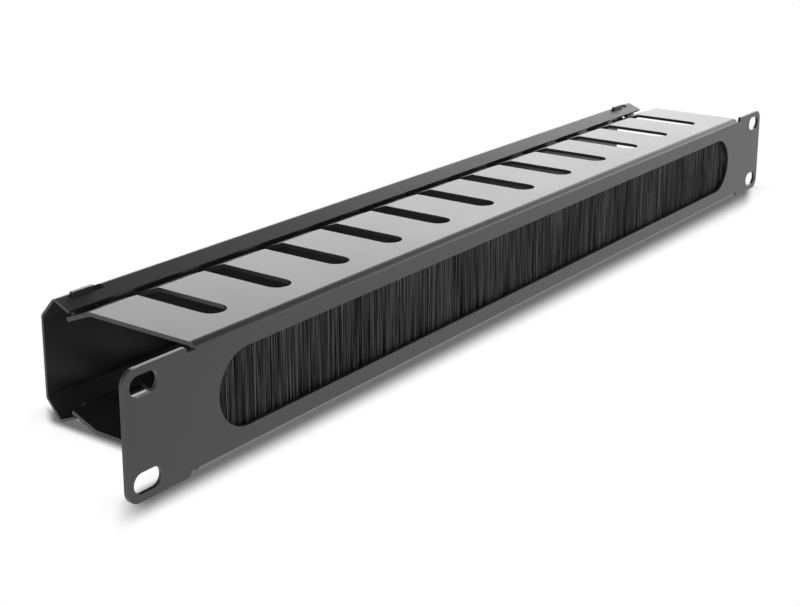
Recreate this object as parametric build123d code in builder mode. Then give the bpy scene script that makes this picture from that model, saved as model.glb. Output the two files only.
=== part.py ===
from build123d import *
import os

os.makedirs("parts", exist_ok=True)

# Frame: X along the panel, Y to the rear with the front face at 0, Z up with 0 at mid height

# Front panel, one folded steel sheet
panel_width = 482.6
panel_height = 44.0
sheet = 1.5
front_bend = 1.5
ear_corner = 5.0
ear_inner_corner = 1.2
relief_width = 4.0
relief_depth = 2.0
relief_corner = 0.5

# Slotted rack holes, four in a rectangle
hole_from_end = 8.75
hole_spacing_z = 31.75
hole_length = 12.0
hole_height = 7.0

# Duct plates folded back from the top and bottom edges, with an inward lip at the rear
ear_width = 31.3
plate_depth = 48.6
lip_run = 12.2
lip_drop = 4.7
lip_bend = 0.5

# Cable slots, round at the front and open at the rear, which leave the fingers
slot_count = 12
end_finger = 21.75
slot_width = 10.2
slot_front = 13.2
finger_corner = 1.0

# Long opening with round ends for the brush
opening_end_margin = 10.0
opening_edge_margin = 8.0

# Rear cover, one folded sheet that snaps over the lips
cover_reach = 12.4
cover_sheet = 1.0
cover_bend = 0.8
cover_lift = 0.5
crest_rounding = 0.13
lip_overlap = 1.8
lip_gap = 0.25
crest_setback = 7.1
shoulder_drop = 6.75

# Snap hooks on the end fingers, which stand through windows in the cover's upper crest
hook_width = 9.8
hook_inset = 2.2
hook_proud = 1.1
window_length = 14.6
window_from_end = 13.5
window_front_gap = 0.5
window_rear_gap = 0.7
window_side_gap = 0.2
window_corner = 0.8

# Brush: bristles folded over a wire and crimped in a channel behind the upper margin
channel_width = 4.8
channel_height = 5.0
channel_sheet = 0.7
channel_corner = 1.2
channel_margin = 0.3
channel_overrun = 0.5
wire_radius = 0.6
wire_clearance = 0.05
bristle_thickness = 2.6
bristle_head_gap = 0.1
tip_overlap = 2.0
tuft_pitch = 2.5
tuft_groove = 0.5
tuft_step = 0.35
end_fan = 2.9
fan_bar_gap = 0.4

# Clamp bar that holds the channel against the panel, on a weld stud and nut at each end
bar_sheet = 1.2
bar_height = 9.0
bar_margin = 0.6
bar_bend = 0.8
bar_end_gap = 0.7
foot_length = 8.6
stud_radius = 1.5
stud_length = 7.0
stud_from_riser = 5.1
stud_hole_gap = 0.2
washer_radius = 3.0
washer_thickness = 0.5
nut_across_flats = 5.5
nut_height = 2.4
thread_gap = 0.05

# Tolerance for picking edges and corners by their place
tiny = 0.01

# Worked out: the duct between the ears, its opening and its slots
half_height = panel_height / 2
duct_length = panel_width - 2 * ear_width
half_duct = duct_length / 2
hole_spacing_x = panel_width - 2 * hole_from_end
opening_length = duct_length - 2 * opening_end_margin
opening_height = panel_height - 2 * opening_edge_margin
slot_pitch = (duct_length - 2 * end_finger - slot_width) / (slot_count - 1)
front_bend_outer = front_bend + sheet
lip_bend_outer = lip_bend + sheet
lip_end_y = plate_depth + lip_run
lip_end_z = half_height - lip_drop
lip_slope = lip_drop / lip_run
relief_x = half_duct + relief_width
relief_z = half_height - relief_depth

# Inner line of the cover: lip ends, crests and back wall, measured from the cover's own middle
cover_depth = lip_end_y + cover_reach
cover_lip_y = lip_end_y - lip_overlap
finger_at_lip_z = half_height - (lip_run - lip_overlap) * lip_slope
cover_lip_z = finger_at_lip_z + lip_gap + cover_lift
crest_y = cover_depth - crest_setback
crest_z = half_height + cover_lift - cover_sheet + crest_rounding
wall_y = cover_depth - cover_sheet
wall_half = crest_z - shoulder_drop
crest_top = half_height + 2 * cover_lift

# Hooks stand against one end of their windows, on the side of negative X at both ends
window_x = half_duct - window_from_end
hook_shift = window_length / 2 - window_side_gap - hook_width / 2
hook_y = crest_y - hook_inset
hook_top = crest_top + hook_proud
hook_corner_z = lip_end_z - (hook_y - lip_end_y) * lip_slope

# FRONT PANEL
with BuildPart() as front_panel:
    with BuildSketch(Plane.YZ) as duct_section:
        with BuildLine() as duct_line:
            FilletPolyline(
                (lip_end_y, -lip_end_z),
                (plate_depth, -half_height),
                (0, -half_height),
                (0, half_height),
                (plate_depth, half_height),
                (lip_end_y, lip_end_z),
                radius=[lip_bend_outer, front_bend_outer, front_bend_outer, lip_bend_outer],
            )
            offset(amount=sheet, side=Side.RIGHT)
        make_face()
    extrude(amount=half_duct, both=True)

    # ears, cut back beside the folds by a small relief
    with BuildSketch(Plane.XZ) as ear_outline:
        RectangleRounded(panel_width, panel_height, ear_corner)
        with Locations((0, half_height), (0, -half_height)):
            Rectangle(2 * relief_x, 2 * (half_height - relief_z), mode=Mode.SUBTRACT)
        relief_corners = ear_outline.vertices().filter_by(lambda v: abs(abs(v.X) - relief_x) < tiny)
        fillet(relief_corners.filter_by(lambda v: abs(v.Y) > relief_z + tiny), ear_inner_corner)
        relief_corners = ear_outline.vertices().filter_by(lambda v: abs(abs(v.X) - relief_x) < tiny)
        fillet(relief_corners.filter_by(lambda v: abs(abs(v.Y) - relief_z) < tiny), relief_corner)
    extrude(amount=-sheet)

    # brush opening and rack holes
    with BuildSketch(Plane.XZ) as front_cuts:
        SlotOverall(opening_length, opening_height)
        with GridLocations(hole_spacing_x, hole_spacing_z, 2, 2):
            SlotOverall(hole_length, hole_height)
    extrude(amount=-sheet, mode=Mode.SUBTRACT)

    # cable slots through both plates, carried out past the lips
    slot_run = lip_end_y + slot_width - slot_front
    with BuildSketch(Plane.XY) as cable_slots:
        with Locations((0, slot_front + slot_run / 2)):
            with GridLocations(slot_pitch, 1, slot_count, 1):
                SlotOverall(slot_run, slot_width, rotation=90)
    extrude(amount=half_height, both=True, mode=Mode.SUBTRACT)
    finger_ends = front_panel.edges().filter_by(
        lambda e: abs(e.length - sheet) < tiny and e.center().Y > lip_end_y - sheet
    )
    fillet(finger_ends, finger_corner)

    # snap hooks, bent up from the upper lips of the two end fingers
    for side in (-1, 1):
        hook_x = side * window_x - hook_shift
        with BuildSketch(Plane.YZ.offset(hook_x)) as hook_section:
            with BuildLine() as hook_line:
                FilletPolyline(
                    (lip_end_y - sheet, lip_end_z + sheet * lip_slope),
                    (hook_y, hook_corner_z),
                    (hook_y, hook_top),
                    radius=lip_bend,
                )
                offset(amount=sheet, side=Side.RIGHT)
            make_face()
        extrude(amount=hook_width / 2, both=True)

front_panel.part.label = "front_panel"

# REAR COVER
with BuildPart() as rear_cover:
    with BuildSketch(Plane.YZ) as cover_section:
        with BuildLine() as cover_line:
            FilletPolyline(
                (cover_lip_y, cover_lift - cover_lip_z),
                (crest_y, cover_lift - crest_z),
                (wall_y, cover_lift - wall_half),
                (wall_y, cover_lift + wall_half),
                (crest_y, cover_lift + crest_z),
                (cover_lip_y, cover_lift + cover_lip_z),
                radius=cover_bend,
            )
            offset(amount=cover_sheet, side=Side.RIGHT)
        make_face()
    extrude(amount=half_duct, both=True)

    # windows across the upper crest
    window_start = hook_y - window_front_gap
    window_end = hook_y + sheet + window_rear_gap
    with BuildSketch(Plane.XY.offset(crest_top)) as crest_windows:
        with Locations((-window_x, (window_start + window_end) / 2), (window_x, (window_start + window_end) / 2)):
            RectangleRounded(window_length, window_end - window_start, window_corner)
    extrude(amount=-shoulder_drop, mode=Mode.SUBTRACT)

rear_cover.part.label = "rear_cover"

# BRUSH
channel_length = opening_length + 2 * channel_overrun
channel_y = sheet + channel_width / 2
channel_floor = opening_height / 2 + channel_margin
channel_top = channel_floor + channel_height
wire_z = channel_top - channel_width / 2
head_radius = channel_width / 2 - channel_sheet - bristle_head_gap

with BuildPart() as brush_channel:
    with BuildSketch(Plane.YZ) as channel_section:
        with BuildLine() as channel_line:
            FilletPolyline(
                (channel_y - channel_width / 2, channel_floor),
                (channel_y - channel_width / 2, channel_top),
                (channel_y + channel_width / 2, channel_top),
                (channel_y + channel_width / 2, channel_floor),
                radius=channel_corner,
            )
            offset(amount=channel_sheet, side=Side.RIGHT)
        make_face()
    extrude(amount=channel_length / 2, both=True)

brush_channel.part.label = "brush_channel"

with BuildPart() as brush_wire:
    with BuildSketch(Plane.YZ) as wire_section:
        with Locations((channel_y, wire_z)):
            Circle(wire_radius)
    extrude(amount=channel_length / 2, both=True)

brush_wire.part.label = "brush_wire"

# Bristles: a row of tufts with grooves between them, whose tips end at three heights
tuft_count = int(channel_length / tuft_pitch)
tuft_width = channel_length / tuft_count
tip_z = -opening_height / 2 - tip_overlap
bar_top = half_height - front_bend_outer - bar_margin
fan_top = bar_top - bar_height - fan_bar_gap


# Six-sided plan of one tuft, full in the middle and thinner where it meets the next
def tuft_outline(index):
    left = -channel_length / 2 + index * tuft_width
    middle = left + tuft_width / 2
    right = left + tuft_width
    full = bristle_thickness / 2
    thin = full - tuft_groove
    Polyline(
        (left, channel_y - thin),
        (middle, channel_y - full),
        (right, channel_y - thin),
        (right, channel_y + thin),
        (middle, channel_y + full),
        (left, channel_y + thin),
        close=True,
    )


with BuildPart() as brush_bristles:
    # head folded over the wire, inside the channel
    with BuildSketch(Plane.YZ) as head_section:
        with Locations((channel_y, wire_z)):
            Circle(head_radius)
        with Locations((channel_y, (wire_z + channel_floor) / 2)):
            Rectangle(bristle_thickness, wire_z - channel_floor)
        with Locations((channel_y, wire_z)):
            Circle(wire_radius + wire_clearance, mode=Mode.SUBTRACT)
    extrude(amount=channel_length / 2, both=True)

    # tufts hanging from the channel's mouth
    for group in range(3):
        with BuildSketch(Plane.XY.offset(channel_floor)) as tuft_plan:
            for tuft in range(group, tuft_count, 3):
                with BuildLine() as tuft_line:
                    tuft_outline(tuft)
                make_face()
        extrude(amount=-(channel_floor - tip_z - group * tuft_step))

    # the last bristles at each end fan out below the clamp bar, past the round end of the opening
    with BuildSketch(Plane.XZ.offset(-channel_y)) as end_fans:
        for side in (-1, 1):
            with BuildLine() as fan_line:
                Polyline(
                    (side * (channel_length / 2 - tuft_width), fan_top),
                    (side * channel_length / 2, fan_top),
                    (side * (channel_length / 2 + end_fan), fan_top - 2 * end_fan),
                    (side * (channel_length / 2 + end_fan), tip_z + tuft_step),
                    (side * (channel_length / 2 - tuft_width), tip_z + tuft_step),
                    close=True,
                )
            make_face()
    extrude(amount=bristle_thickness / 2 - tuft_groove, both=True)

brush_bristles.part.label = "brush_bristles"

# CLAMP BAR
bar_y = sheet + channel_width
riser_x = channel_length / 2 + bar_end_gap
foot_end = riser_x + foot_length
stud_x = riser_x + stud_from_riser
stud_z = bar_top - bar_height / 2

with BuildPart() as clamp_bar:
    with BuildSketch(Plane.XY.offset(bar_top - bar_height)) as bar_plan:
        with BuildLine() as bar_line:
            FilletPolyline(
                (-foot_end, sheet),
                (-riser_x, sheet),
                (-riser_x, bar_y),
                (riser_x, bar_y),
                (riser_x, sheet),
                (foot_end, sheet),
                radius=[bar_bend + bar_sheet, bar_bend, bar_bend, bar_bend + bar_sheet],
            )
            offset(amount=bar_sheet, side=Side.LEFT)
        make_face()
    extrude(amount=bar_height)
    with BuildSketch(Plane.XZ.offset(-sheet)) as stud_holes:
        with Locations((-stud_x, stud_z), (stud_x, stud_z)):
            Circle(stud_radius + stud_hole_gap)
    extrude(amount=-bar_sheet, mode=Mode.SUBTRACT)

clamp_bar.part.label = "clamp_bar"

# Fixings, one set at each end
for side, end_name in ((-1, "left"), (1, "right")):
    with BuildPart() as stud:
        with BuildSketch(Plane.XZ.offset(-sheet)) as stud_section:
            with Locations((side * stud_x, stud_z)):
                Circle(stud_radius)
        extrude(amount=-stud_length)
        chamfer(stud.faces().sort_by(Axis.Y)[-1].edges(), stud_radius / 4)
    stud.part.label = "weld_stud_" + end_name
    export_step(stud.part, "parts/weld_stud_" + end_name + ".step")

    with BuildPart() as washer:
        with BuildSketch(Plane.XZ.offset(-sheet - bar_sheet)) as washer_section:
            with Locations((side * stud_x, stud_z)):
                Circle(washer_radius)
                Circle(stud_radius + stud_hole_gap, mode=Mode.SUBTRACT)
        extrude(amount=-washer_thickness)
    washer.part.label = "washer_" + end_name
    export_step(washer.part, "parts/washer_" + end_name + ".step")

    with BuildPart() as nut:
        with BuildSketch(Plane.XZ.offset(-sheet - bar_sheet - washer_thickness)) as nut_section:
            with Locations((side * stud_x, stud_z)):
                RegularPolygon(nut_across_flats / 2, 6, major_radius=False)
                Circle(stud_radius + thread_gap, mode=Mode.SUBTRACT)
        extrude(amount=-nut_height)
    nut.part.label = "hex_nut_" + end_name
    export_step(nut.part, "parts/hex_nut_" + end_name + ".step")

export_step(front_panel.part, "parts/front_panel.step")
export_step(rear_cover.part, "parts/rear_cover.step")
export_step(brush_channel.part, "parts/brush_channel.step")
export_step(brush_wire.part, "parts/brush_wire.step")
export_step(brush_bristles.part, "parts/brush_bristles.step")
export_step(clamp_bar.part, "parts/clamp_bar.step")
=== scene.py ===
import math

import bmesh
import bpy
from mathutils import Euler, Matrix, Vector


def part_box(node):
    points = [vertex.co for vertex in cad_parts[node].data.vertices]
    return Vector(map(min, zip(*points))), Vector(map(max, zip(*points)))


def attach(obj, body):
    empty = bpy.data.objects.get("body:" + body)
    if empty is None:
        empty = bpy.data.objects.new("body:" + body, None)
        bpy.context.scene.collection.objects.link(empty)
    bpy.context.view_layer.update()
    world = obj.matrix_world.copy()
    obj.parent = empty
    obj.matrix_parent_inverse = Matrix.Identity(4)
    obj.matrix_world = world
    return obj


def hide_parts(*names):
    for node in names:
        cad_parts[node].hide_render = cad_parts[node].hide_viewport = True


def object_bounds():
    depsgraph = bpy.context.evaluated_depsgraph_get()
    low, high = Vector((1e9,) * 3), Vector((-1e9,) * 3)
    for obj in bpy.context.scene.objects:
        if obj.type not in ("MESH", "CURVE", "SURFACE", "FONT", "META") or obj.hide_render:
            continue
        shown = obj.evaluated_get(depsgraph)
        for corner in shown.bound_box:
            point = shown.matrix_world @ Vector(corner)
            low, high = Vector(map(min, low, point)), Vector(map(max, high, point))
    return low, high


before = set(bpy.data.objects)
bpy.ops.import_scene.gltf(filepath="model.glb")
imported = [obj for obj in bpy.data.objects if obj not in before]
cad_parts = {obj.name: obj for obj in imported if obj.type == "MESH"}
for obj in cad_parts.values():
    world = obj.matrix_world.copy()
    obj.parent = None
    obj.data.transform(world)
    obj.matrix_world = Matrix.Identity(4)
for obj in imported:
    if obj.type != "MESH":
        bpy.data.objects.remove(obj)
cadLow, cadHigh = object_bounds()
mm = 0.001
print("frame loaded:", len(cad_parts), "nodes")


# Shader maths: an expression on values adds its Math nodes
class Value:
    def __init__(self, tree, socket):
        self.tree = tree
        self.socket = socket

    def maths(self, operation, *values):
        made = self.tree.nodes.new("ShaderNodeMath")
        made.operation = operation
        for place, value in enumerate(values):
            if isinstance(value, Value):
                self.tree.links.new(value.socket, made.inputs[place])
            else:
                made.inputs[place].default_value = value
        return Value(self.tree, made.outputs[0])

    def __add__(self, other):
        return self.maths("ADD", self, other)

    def __radd__(self, other):
        return self.maths("ADD", other, self)

    def __sub__(self, other):
        return self.maths("SUBTRACT", self, other)

    def __rsub__(self, other):
        return self.maths("SUBTRACT", other, self)

    def __mul__(self, other):
        return self.maths("MULTIPLY", self, other)

    def __rmul__(self, other):
        return self.maths("MULTIPLY", other, self)

    def __truediv__(self, other):
        return self.maths("DIVIDE", self, other)

    def __pow__(self, other):
        return self.maths("POWER", self, other)


class Finish:
    def __init__(self, name):
        self.material = bpy.data.materials.new(name)
        self.material.use_nodes = True
        self.tree = self.material.node_tree
        self.tree.nodes.clear()

    # any node: its type, its settings first, then the values or links of its sockets
    def node(self, kind, settings=None, sockets=None, output=0):
        made = self.tree.nodes.new("ShaderNode" + kind)
        for name, value in (settings or {}).items():
            setattr(made, name, value)
        for name, value in (sockets or {}).items():
            if isinstance(value, Value):
                self.tree.links.new(value.socket, made.inputs[name])
            else:
                made.inputs[name].default_value = value
        return Value(self.tree, made.outputs[output]) if len(made.outputs) else None

    # noise on object coordinates: cells a metre, and a stretch along each axis
    def noise(self, cells, detail=2.0, stretch=(1, 1, 1)):
        spot = self.node("TexCoord", output="Object")
        place = self.node("Mapping", sockets={"Vector": spot, "Scale": stretch})
        return self.node("TexNoise", sockets={"Vector": place, "Scale": cells, "Detail": detail})

    def bump(self, height, depth):
        return self.node("Bump", sockets={"Height": height, "Distance": depth})

    # the Mix node's colour sockets are inputs 6 and 7 and output 2, counted from 0
    def blend(self, factor, first, second):
        sockets = {"Factor": factor, 6: (*first, 1), 7: (*second, 1)}
        return self.node("Mix", {"data_type": "RGBA"}, sockets, output=2)

    def close(self, **sockets):
        named = {name.replace("_", " "): value for name, value in sockets.items()}
        surface = self.node("BsdfPrincipled", sockets=named)
        self.node("OutputMaterial", sockets={"Surface": surface})
        return self.material

    def glow(self, tone, strength):
        surface = self.node("Emission", sockets={"Color": tone, "Strength": strength})
        self.node("OutputMaterial", sockets={"Surface": surface})
        return self.material


# Powder coat: a fine orange peel under a slow change of tone
coatLook = {
    "dark": (0.021, 0.021, 0.022),
    "light": (0.026, 0.026, 0.027),
    "roughness": 0.36,
    "roughnessSpread": 0.05,
    "grainRoughness": 0.04,
    "ior": 1.52,
    "peelCells": 900.0,  # cells a metre
    "grainCells": 4200.0,
    "cloudCells": 22.0,
    "peelShare": 0.7,  # of the relief; the grain makes the rest
    "peelDepth": 0.02 * mm,
}
# painted highlight: the bevelled cut edges get a far paler coat colour, which stands in for the light
# their small rounding catches
paintedEdgeHighlightLook = {**coatLook, "dark": (0.20, 0.20, 0.203), "light": (0.25, 0.25, 0.253)}


def powderCoat(name, coat):
    finish = Finish(name)
    peel = finish.noise(coat["peelCells"], detail=1.5)
    grain = finish.noise(coat["grainCells"], detail=2.0)
    cloud = finish.noise(coat["cloudCells"], detail=3.0)
    colour = finish.blend(cloud, coat["dark"], coat["light"])
    cloudRough = coat["roughness"] + coat["roughnessSpread"] * (cloud - 0.5)
    relief = peel * coat["peelShare"] + grain * (1 - coat["peelShare"])
    return finish.close(
        Base_Color=colour,
        Roughness=cloudRough + coat["grainRoughness"] * (grain - 0.5),
        IOR=coat["ior"],
        Normal=finish.bump(relief, coat["peelDepth"]),
    )


coatMaterial = powderCoat("satin black powder coat", coatLook)
# the pale coat that paints a highlight onto the bevelled edges
paintedEdgeHighlightMaterial = powderCoat("powder coat with painted edge highlight", paintedEdgeHighlightLook)


# Folded sheets: the CAD mesh with the small radius that the coat gives its cut edges
edgeLook = {
    "radius": 0.34 * mm,
    "segments": 2,
    "roundness": 0.5,
    "sharpest": math.radians(32),  # folds turn less than this from facet to facet
    "flatWithin": math.radians(0.2),
    "merge": 0.002 * mm,
}


def softenedSheet(node, name):
    mesh = bmesh.new()
    mesh.from_mesh(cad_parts[node].data)
    bmesh.ops.remove_doubles(mesh, verts=mesh.verts, dist=edgeLook["merge"])
    bmesh.ops.dissolve_limit(
        mesh,
        angle_limit=edgeLook["flatWithin"],
        verts=mesh.verts,
        edges=mesh.edges,
        use_dissolve_boundaries=False,
    )
    joined = [e for e in mesh.edges if len(e.link_faces) == 2]
    bmesh.ops.bevel(
        mesh,
        geom=[e for e in joined if e.calc_face_angle() > edgeLook["sharpest"]],
        offset=edgeLook["radius"],
        offset_type="OFFSET",
        segments=edgeLook["segments"],
        profile=edgeLook["roundness"],
        affect="EDGES",
        clamp_overlap=True,
        material=1,  # the pale coat of the painted edge highlight
        loop_slide=True,
    )
    data = bpy.data.meshes.new(name)
    mesh.to_mesh(data)
    mesh.free()
    sheet = bpy.data.objects.new(name, data)
    bpy.context.scene.collection.objects.link(sheet)
    data.materials.append(coatMaterial)
    # second slot: the pale coat that paints the edge highlight
    data.materials.append(paintedEdgeHighlightMaterial)
    data.shade_smooth()
    weighted = sheet.modifiers.new("flat faces stay flat", "WEIGHTED_NORMAL")
    weighted.keep_sharp = True
    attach(sheet, "root")
    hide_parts(node)


softenedSheet("front_panel", "panel_sheet")
softenedSheet("rear_cover", "cover_sheet")
print("folded sheets done")


# Turned tips of the fingers, behind the cover's lips: the sheet goes on past each lip and bends outwards
tips = {
    "lipEnd": (60.8, 17.3),  # mm, along Y and Z
    "lipFall": (12.2, -4.7),
    "turn": (2.6, 2.2),
    "sheet": 1.5,
    "joint": 0.03,
    "slots": 12,
    "pitch": 33.3,
    "slotHalf": 5.1,
    "corner": 1.0,
    "ends": (-203.6, 208.0),
    "hooks": ((-203.9, -193.5), (189.1, 199.5)),  # no tips where the upper lips carry the hooks
    "shortest": 1.0,
}


def tipSection():
    def below(way):
        return Vector((way.y, -way.x))

    fall = Vector(tips["lipFall"]).normalized()
    rise = Vector(tips["turn"]).normalized()
    start = Vector(tips["lipEnd"]) + fall * tips["joint"]
    top = start + Vector(tips["turn"])
    inner = start + (below(fall) + below(rise)) * (tips["sheet"] / (1 + fall.dot(rise)))
    return [start, top, top + below(rise) * tips["sheet"], inner, start + below(fall) * tips["sheet"]]


def tipSpans():
    middle = (tips["slots"] - 1) / 2
    cuts = [(n - middle) * tips["pitch"] for n in range(tips["slots"])]
    reach = tips["slotHalf"] + tips["corner"]
    lows = [tips["ends"][0]] + [cut + reach for cut in cuts]
    highs = [cut - reach for cut in cuts] + [tips["ends"][1]]
    return list(zip(lows, highs))


def withoutHooks(spans):
    kept = []
    for low, high in spans:
        for hookLow, hookHigh in tips["hooks"]:
            if hookLow < high and hookHigh > low:
                kept += [(low, hookLow), (hookHigh, high)]
                break
        else:
            kept.append((low, high))
    return [(low, high) for low, high in kept if high - low > tips["shortest"]]


def tipRing(mesh, section, x, side):
    return [mesh.verts.new((x * mm, p.x * mm, side * p.y * mm)) for p in section]


def fingerTips():
    mesh = bmesh.new()
    section = tipSection()
    for side, spans in ((1, withoutHooks(tipSpans())), (-1, tipSpans())):
        for low, high in spans:
            near = tipRing(mesh, section, low, side)
            far = tipRing(mesh, section, high, side)
            mesh.faces.new(near)
            mesh.faces.new(far)
            for n in range(len(section)):
                after = (n + 1) % len(section)
                mesh.faces.new((near[n], near[after], far[after], far[n]))
    bmesh.ops.recalc_face_normals(mesh, faces=mesh.faces)
    data = bpy.data.meshes.new("finger_tips")
    mesh.to_mesh(data)
    mesh.free()
    piece = bpy.data.objects.new("finger_tips", data)
    bpy.context.scene.collection.objects.link(piece)
    data.materials.append(coatMaterial)
    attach(piece, "root")


fingerTips()
print("finger tips done")


# Black nylon: streaks that run down the strands, clump by clump; the dark streaks are partly painted
# shade in the gaps between clumps
nylonLook = {
    "dark": (0.001, 0.001, 0.0012),
    "light": (0.18, 0.18, 0.183),
    "strandCells": 5200.0,  # cells a metre
    "strandStretch": (1, 0.35, 0.004),
    "clumpCells": 1500.0,
    "clumpStretch": (1, 0.5, 0.008),
    "strandShare": 0.35,  # of the streaks; the clumps make the rest
    "contrast": 4.6,
    "level": 0.24,
    "roughness": 0.30,
    "roughnessSpread": 0.3,
    "ior": 1.26,
}


def bristleMaterial(nylon):
    finish = Finish("black nylon filament")
    strand = finish.noise(nylon["strandCells"], detail=1.0, stretch=nylon["strandStretch"])
    clump = finish.noise(nylon["clumpCells"], detail=2.0, stretch=nylon["clumpStretch"])
    mixed = strand * nylon["strandShare"] + clump * (1 - nylon["strandShare"])
    # random streak tone, mixed with painted shade in the gaps between the clumps
    streakAndGapShade = nylon["contrast"] * (mixed - 0.5) + nylon["level"]
    shade = streakAndGapShade.maths("MINIMUM", streakAndGapShade.maths("MAXIMUM", streakAndGapShade, 0.0), 1.0)
    return finish.close(
        Base_Color=finish.blend(shade, nylon["dark"], nylon["light"]),
        Roughness=nylon["roughness"] + nylon["roughnessSpread"] * strand,
        IOR=nylon["ior"],
    )


# Bristles: rows of fine strands that hang from the channel's mouth
bristleLook = {
    "rows": 9,
    "strandsPerRow": 1500,
    "strandRadius": 0.12 * mm,
    "brushThickness": 2.6 * mm,
    "rootDepth": 2 * mm,  # above the channel's mouth
    "endGap": 0.4 * mm,  # from the last strands to the channel's ends
    "unevenTips": 0.9 * mm,
    "lean": math.radians(1.1),
    "jitter": 0.11 * mm,
    "seed": 7,
    "fanFrom": 7 * mm,  # the last strands at each end fan outwards
    "fanOut": 3.2 * mm,
    "fanForward": 0.3 * mm,
    "fanDrop": 0.45,  # of their length, down which they spread
    "fanClear": 0.02 * mm,  # inside the end of the solid bristles
}
bristleLow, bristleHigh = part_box("brush_bristles")
channelLow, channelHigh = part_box("brush_channel")
strandInset = bristleLook["jitter"] + bristleLook["strandRadius"]
rootHeight = channelLow.z + bristleLook["rootDepth"]
rootEnd = channelHigh.x - strandInset - bristleLook["endGap"]
strandLength = rootHeight - bristleLow.z
strandInputs = {
    "Rows": ("NodeSocketInt", bristleLook["rows"]),
    "Strands in a row": ("NodeSocketInt", bristleLook["strandsPerRow"]),
    "Brush length": ("NodeSocketFloat", 2 * rootEnd),
    "Brush thickness": ("NodeSocketFloat", bristleLook["brushThickness"] - 2 * strandInset),
    "Strand length": ("NodeSocketFloat", strandLength),
    "Strand radius": ("NodeSocketFloat", bristleLook["strandRadius"]),
    "Uneven tips": ("NodeSocketFloat", bristleLook["unevenTips"]),
    "Lean": ("NodeSocketFloat", bristleLook["lean"]),
    "Jitter": ("NodeSocketFloat", bristleLook["jitter"]),
    "Seed": ("NodeSocketInt", bristleLook["seed"]),
    "Material": ("NodeSocketMaterial", bristleMaterial(nylonLook)),
}


def bristleTree():
    tree = bpy.data.node_groups.new("strand rows", "GeometryNodeTree")
    face = tree.interface
    face.new_socket("Geometry", in_out="OUTPUT", socket_type="NodeSocketGeometry")
    for name, (kind, value) in strandInputs.items():
        face.new_socket(name, in_out="INPUT", socket_type=kind).default_value = value
    given = tree.nodes.new("NodeGroupInput").outputs
    out = tree.nodes.new("NodeGroupOutput")

    # sockets go by name, or by number as i0 and i1 where names repeat
    def add(kind, settings=None, **sockets):
        made = tree.nodes.new(kind)
        for name, value in (settings or {}).items():
            setattr(made, name, value)
        for name, value in sockets.items():
            numbered = name[0] == "i" and name[1:].isdigit()
            target = made.inputs[int(name[1:]) if numbered else name.replace("_", " ")]
            if isinstance(value, bpy.types.NodeSocket):
                tree.links.new(value, target)
            else:
                target.default_value = value
        return made

    def maths(operation, first, second):
        return add("ShaderNodeMath", {"operation": operation}, i0=first, i1=second).outputs[0]

    def vector(x, y, z):
        return add("ShaderNodeCombineXYZ", X=x, Y=y, Z=z).outputs[0]

    def anyVector(low, high, seed):
        made = add("FunctionNodeRandomValue", {"data_type": "FLOAT_VECTOR"}, i0=low, i1=high, Seed=seed)
        return made.outputs["Value"]

    rows = add(
        "GeometryNodeMeshGrid",
        Size_X=given["Brush length"],
        Size_Y=given["Brush thickness"],
        Vertices_X=given["Strands in a row"],
        Vertices_Y=given["Rows"],
    )
    # small random shift of each strand
    backJitter = maths("MULTIPLY", given["Jitter"], -1.0)
    lowShift = vector(backJitter, backJitter, 0.0)
    highShift = vector(given["Jitter"], given["Jitter"], 0.0)
    shift = anyVector(lowShift, highShift, given["Seed"])
    shifted = add("GeometryNodeSetPosition", Geometry=rows.outputs["Mesh"], Offset=shift)
    # the strand hangs down from its root
    strand = add(
        "GeometryNodeMeshCone", {"fill_type": "NONE"},
        Vertices=3,
        Side_Segments=2,
        Radius_Top=given["Strand radius"],
        Radius_Bottom=given["Strand radius"],
        Depth=given["Strand length"],
    )
    down = vector(0.0, 0.0, maths("MULTIPLY", given["Strand length"], -1.0))
    hung = add("GeometryNodeTransform", Geometry=strand.outputs["Mesh"], Translation=down)
    lowTurn = vector(0.0, maths("MULTIPLY", given["Lean"], -1.0), -math.pi)
    highTurn = vector(0.0, given["Lean"], math.pi)
    turn = anyVector(lowTurn, highTurn, maths("ADD", given["Seed"], 1.0))
    # uneven tips come from a small change of length
    shortest = maths("SUBTRACT", 1.0, maths("DIVIDE", given["Uneven tips"], given["Strand length"]))
    length = add(
        "FunctionNodeRandomValue", {"data_type": "FLOAT"},
        i2=shortest,
        i3=1.0,
        Seed=maths("ADD", given["Seed"], 2.0),
    )
    placed = add(
        "GeometryNodeInstanceOnPoints",
        Points=shifted.outputs[0],
        Instance=hung.outputs[0],
        Rotation=turn,
        Scale=vector(1.0, 1.0, length.outputs[1]),
    )
    real = add("GeometryNodeRealizeInstances", Geometry=placed.outputs[0])
    dressed = add("GeometryNodeSetMaterial", Geometry=real.outputs[0], Material=given["Material"])
    tree.links.new(dressed.outputs[0], out.inputs[0])
    return tree


def grownStrands(tree):
    carrier = bpy.data.objects.new("strand carrier", bpy.data.meshes.new("strand seed"))
    bpy.context.scene.collection.objects.link(carrier)
    growth = carrier.modifiers.new("strands", "NODES")
    growth.node_group = tree
    for item in tree.interface.items_tree:
        if item.in_out == "INPUT":
            growth[item.identifier] = strandInputs[item.name][1]
    graph = bpy.context.evaluated_depsgraph_get()
    grown = bpy.data.meshes.new_from_object(carrier.evaluated_get(graph))
    bpy.data.objects.remove(carrier)
    return grown


def fanEnds(mesh):
    for vertex in mesh.vertices:
        spread = (abs(vertex.co.x) - rootEnd + bristleLook["fanFrom"]) / bristleLook["fanFrom"]
        drop = min(-vertex.co.z / (bristleLook["fanDrop"] * strandLength), 1)
        if spread > 0 and drop > 0:
            share = min(spread, 1) * drop
            outwards = abs(vertex.co.x) + bristleLook["fanOut"] * share
            reach = min(outwards, bristleHigh.x - bristleLook["fanClear"])
            vertex.co.x = math.copysign(reach, vertex.co.x)
            vertex.co.y -= bristleLook["fanForward"] * share


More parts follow.
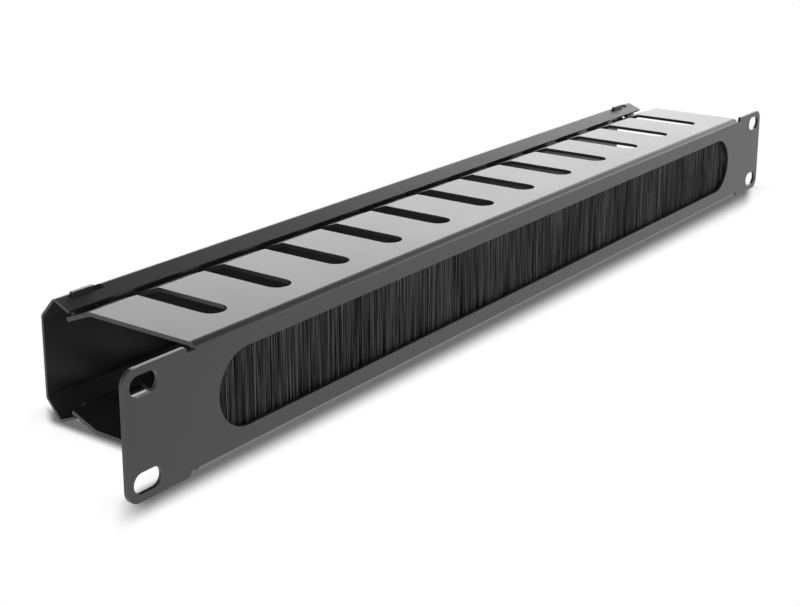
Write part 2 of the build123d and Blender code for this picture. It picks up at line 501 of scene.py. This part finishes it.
def bristles():
    grown = grownStrands(bristleTree())
    fanEnds(grown)
    grown.transform(Matrix.Translation((0, (bristleLow.y + bristleHigh.y) / 2, rootHeight)))
    grown.shade_smooth()
    strands = bpy.data.objects.new("bristle_strands", grown)
    bpy.context.scene.collection.objects.link(strands)
    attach(strands, "root")
    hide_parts("brush_bristles")
    print("bristles done:", len(grown.polygons), "faces")


bristles()


# Metal parts behind the panel keep their CAD shapes
metals = {
    "galvanised strip": {"colour": (0.55, 0.56, 0.57), "roughness": 0.42, "flakeCells": 420.0},
    "drawn wire": {"colour": (0.50, 0.50, 0.50), "roughness": 0.35, "flakeCells": 1500.0},
    "bright zinc": {"colour": (0.62, 0.62, 0.60), "roughness": 0.28, "flakeCells": 900.0},
}
flakes = {
    "darkest": 0.8,  # of the metal's colour
    "roughnessSpread": 0.15,
    "depth": 0.006 * mm,
}


def plainMetal(name):
    metal = metals[name]
    finish = Finish(name)
    flake = finish.noise(metal["flakeCells"], detail=3.0)
    darkest = tuple(channel * flakes["darkest"] for channel in metal["colour"])
    return finish.close(
        Base_Color=finish.blend(flake, darkest, metal["colour"]),
        Metallic=1.0,
        Roughness=metal["roughness"] + flakes["roughnessSpread"] * (flake - 0.5),
        Normal=finish.bump(flake, flakes["depth"]),
    )


def dress(node, material):
    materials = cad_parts[node].data.materials
    materials.clear()
    materials.append(material)


dress("brush_channel", plainMetal("galvanised strip"))
dress("brush_wire", plainMetal("drawn wire"))
dress("clamp_bar", coatMaterial)
zincMaterial = plainMetal("bright zinc")
for end in ("left", "right"):
    for fixing in ("weld_stud_", "washer_", "hex_nut_"):
        dress(fixing + end, zincMaterial)
print("metal parts dressed")


# Camera, as it stood for the photograph
photo = {
    "place": (-513.7, -299.9, 183.6),  # mm
    "yaw": 53.974,  # degrees from straight back, towards the right
    "pitch": -14.560,
    "roll": 0.115,
    "focalPixels": 1434.3,
    "widthPixels": 800,
    "axisAbovePixels": 120,  # the lens axis over the middle of the picture
    "sensorWidth": 36,  # mm
    "clip": (0.01, 100),  # metres
}


def photoCamera():
    data = bpy.data.cameras.new("photo camera")
    data.sensor_width = photo["sensorWidth"]
    data.lens = photo["focalPixels"] / photo["widthPixels"] * photo["sensorWidth"]
    data.shift_y = -photo["axisAbovePixels"] / photo["widthPixels"]
    data.clip_start, data.clip_end = photo["clip"]
    camera = bpy.data.objects.new("photo camera", data)
    camera.location = [value * mm for value in photo["place"]]
    turn = Euler((math.radians(90 + photo["pitch"]), 0, -math.radians(photo["yaw"])))
    lean = Euler((0, 0, math.radians(photo["roll"])))
    camera.rotation_euler = (turn.to_matrix() @ lean.to_matrix()).to_euler()
    bpy.context.scene.collection.objects.link(camera)
    bpy.context.scene.camera = camera


# Studio: a white table in white surroundings, two softboxes and a dark flag overhead
studio = {
    "white": 1.0,
    "floorSize": 8.0,  # metres
    "flagSize": 4.0,
    "flagHeight": 1.4,
    "flagTone": 0.22,
}
# azimuth in degrees from straight back towards the right
lamps = {
    "rear softbox": {
        "azimuth": 62, "elevation": 14.5, "distance": 3.0, "size": (3.6, 1.3), "radiance": 2.8,
    },
    "front right softbox": {
        "azimuth": 113, "elevation": 9, "distance": 3.0, "size": (2.4, 0.9), "radiance": 2.6,
    },
}

# The drawn shadow falls from each edge of the footprint straight towards the camera
shadow = {
    "earEnd": 0.2405,  # metres
    "frontRight": 0.2340,
    "endSoft": 0.009,
    "ductEnd": -0.2100,
    "rear": 0.0725,
    "sideSoft": 0.004,
    "sideShare": 0.55,  # the left side's shadow is narrower
    "dark": 0.155,  # the table's tone at the object's edge
    "width": 0.0145,  # at the left ear; it grows with distance
    "growth": 1.8,
    "growthPower": 2.0,
    "begins": -0.012,  # under the object, behind the edge
    "full": -0.006,
    "contactReach": 0.012,  # the object's own contact shadow, from every side
    "contactShare": 0.6,
    "contactSamples": 16,
}


def fade(finish, value, start, end, curve="SMOOTHSTEP"):
    sockets = {"Value": value, "From Min": start, "From Max": end}
    return finish.node("MapRange", {"interpolation_type": curve}, sockets)


def shadowFrom(finish, travel, width, crossing, low, high, soft):
    depth = (1 - shadow["dark"]) * (1.0 - fade(finish, travel / width, 0.0, 1.0))
    inside = fade(finish, crossing, low - soft, low + soft)
    before = fade(finish, crossing, high + soft, high - soft)
    ahead = fade(finish, travel, shadow["begins"], shadow["full"], "LINEAR")
    return depth * inside * before * ahead


def drawnShadow(finish):
    spot = finish.node("TexCoord", output="Object")
    alongX = finish.node("SeparateXYZ", sockets={"Vector": spot}, output="X")
    alongY = finish.node("SeparateXYZ", sockets={"Vector": spot}, output="Y")
    fromX = alongX - photo["place"][0] * mm
    fromY = alongY - photo["place"][1] * mm
    distance = (fromX * fromX + fromY * fromY) ** 0.5
    spread = 1.0 + shadow["growth"] * (alongX + shadow["earEnd"])
    width = shadow["width"] * spread ** shadow["growthPower"]
    # how far back along the sight line the front face and the duct's left end stand
    frontStep = (0.0 - alongY) / fromY
    sideStep = (shadow["ductEnd"] - alongX) / fromX
    front = shadowFrom(
        finish,
        frontStep * distance,
        width,
        alongX + frontStep * fromX,
        -shadow["earEnd"],
        shadow["frontRight"],
        shadow["endSoft"],
    )
    side = shadowFrom(
        finish,
        sideStep * distance,
        shadow["sideShare"] * width,
        alongY + sideStep * fromY,
        0.0,
        shadow["rear"],
        shadow["sideSoft"],
    )
    return front.maths("MAXIMUM", front, side)


def contactShadow(finish):
    settings = {"samples": shadow["contactSamples"]}
    free = finish.node("AmbientOcclusion", settings, {"Distance": shadow["contactReach"]}, output="AO")
    return shadow["contactShare"] * (1.0 - free)


def studioPlane(name, size, height, material, seen=True):
    bpy.ops.mesh.primitive_plane_add(size=size, location=(0, 0, height))
    plane = bpy.context.object
    plane.name = name
    plane.visible_camera = seen
    plane.data.materials.append(material)


def studioFloor():
    finish = Finish("white table")
    drawn = drawnShadow(finish)
    shade = 1.0 - drawn.maths("MAXIMUM", drawn, contactShadow(finish))
    # every ray sees the white table, and the camera sees the shadow on it as well
    direct = finish.node("LightPath", output="Is Camera Ray")
    tone = 1.0 - direct * (1.0 - shade)
    studioPlane("studio_floor", studio["floorSize"], cadLow.z, finish.glow(tone, studio["white"]))


def studioFlag():
    tone = (studio["flagTone"],) * 3 + (1,)
    material = Finish("dark flag").glow(tone, studio["white"])
    studioPlane("overhead_flag", studio["flagSize"], studio["flagHeight"], material, seen=False)


def studioWorld():
    world = bpy.data.worlds.new("studio")
    bpy.context.scene.world = world
    world.use_nodes = True
    around = next(node for node in world.node_tree.nodes if node.type == "BACKGROUND")
    around.inputs["Color"].default_value = (1, 1, 1, 1)
    around.inputs["Strength"].default_value = studio["white"]


def softLamp(name, look):
    wide, tall = look["size"]
    data = bpy.data.lights.new(name, "AREA")
    data.shape = "RECTANGLE"
    data.size, data.size_y = wide, tall
    data.energy = look["radiance"] * math.pi * wide * tall
    turn, rise = math.radians(look["azimuth"]), math.radians(look["elevation"])
    level = math.cos(rise)
    way = Vector((math.sin(turn) * level, math.cos(turn) * level, math.sin(rise)))
    lamp = bpy.data.objects.new(name, data)
    lamp.location = way * look["distance"]
    lamp.rotation_euler = (-way).to_track_quat("-Z", "Y").to_euler()
    lamp.visible_camera = False
    bpy.context.scene.collection.objects.link(lamp)


studioFloor()
studioFlag()
studioWorld()
for name, look in lamps.items():
    softLamp(name, look)
photoCamera()
bpy.context.scene.view_settings.view_transform = "Standard"
print("studio and camera ready")
